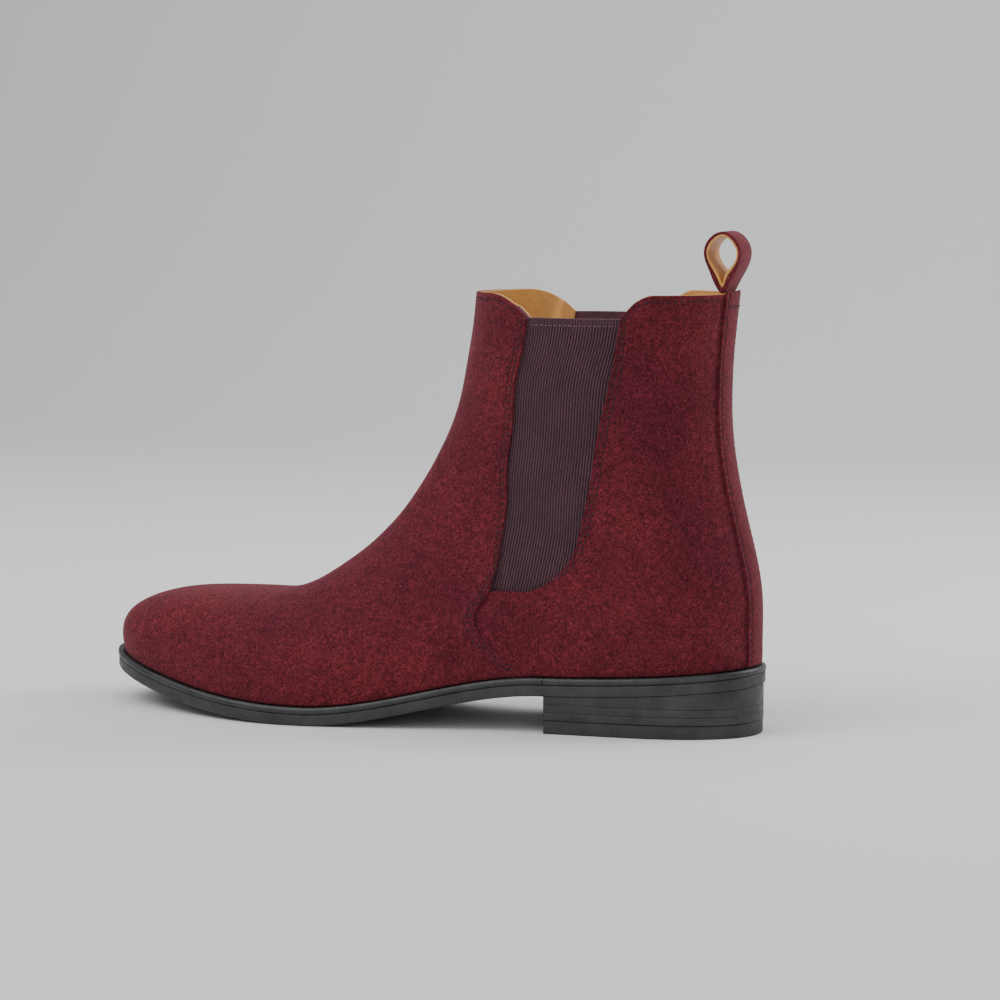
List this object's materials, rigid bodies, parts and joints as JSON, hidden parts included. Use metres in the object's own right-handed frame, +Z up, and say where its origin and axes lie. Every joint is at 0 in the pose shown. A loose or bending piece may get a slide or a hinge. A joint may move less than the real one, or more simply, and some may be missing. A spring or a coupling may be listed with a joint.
{
  "type": "chelsea boot",
  "caption": "Ankle boot in napped leather with elastic side panels, a pull loop at the back, a welted sole and a stacked heel.",
  "frame": {"origin": "on the ground, under the middle of the boot's length and width", "axes": "+X towards the toe, +Y towards the outer (lateral) side of this left boot, +Z up"},
  "size_m": [0.303, 0.105, 0.2114],
  "materials": {
    "burgundy_suede": "napped suede",
    "loop_suede": "napped suede strap",
    "plum_elastic": "ribbed woven elastic",
    "tan_lining": "smooth lining leather",
    "sock_leather": "smooth sock leather",
    "sole_black": "grained black sole",
    "welt_black": "waxed black edge",
    "heel_stack": "stacked leather, inked black",
    "top_piece_rubber": "matt rubber",
    "stiffener": "impregnated canvas",
    "insole_board": "insole leather board",
    "cork": "granular cork",
    "shank_steel": "spring steel",
    "nail_steel": "steel nails",
    "pin_brass": "brass pins"
  },
  "bodies": {
    "root": {"outsole": "sole_black", "welt": "welt_black", "heel_rand": "welt_black", "heel_lift_1": "heel_stack", "heel_lift_2": "heel_stack", "heel_lift_3": "heel_stack", "top_piece": "top_piece_rubber", "top_piece_pins": "pin_brass", "heel_nails": "nail_steel", "shank": "shank_steel", "cork_filler": "cork", "insole": "insole_board", "sock_liner": "sock_leather", "vamp": "burgundy_suede", "toe_puff": "stiffener", "vamp_lining": "tan_lining", "instep_break": "burgundy_suede", "instep_break_lining": "tan_lining", "gore_lateral": "plum_elastic", "gore_medial": "plum_elastic", "quarter_lateral": "burgundy_suede", "quarter_medial": "burgundy_suede", "quarter_lining_lateral": "tan_lining", "quarter_lining_medial": "tan_lining", "heel_counter": "stiffener", "heel_grip": "tan_lining", "back_strip": "burgundy_suede"},
    "shaft_front": {"front_shaft": "burgundy_suede", "front_shaft_lining": "tan_lining"},
    "pull_loop_strap": {"pull_loop": "loop_suede", "pull_loop_lining": "tan_lining"}
  },
  "joints": [
    {"name": "shaft_open", "type": "hinge", "parent": "root", "child": "shaft_front", "pos_m": [-0.0375, 0, 0.059], "axis": [0, 1, 0], "range_deg": [0, 12], "stiffness_Nm_per_rad": 1.5, "deforming": ["gore_lateral", "gore_medial", "instep_break", "instep_break_lining"]},
    {"name": "pull_loop_fold", "type": "hinge", "parent": "root", "child": "pull_loop_strap", "pos_m": [-0.134, 0, 0.19], "axis": [0, 1, 0], "range_deg": [-40, 55], "stiffness_Nm_per_rad": 0.01}
  ]
}
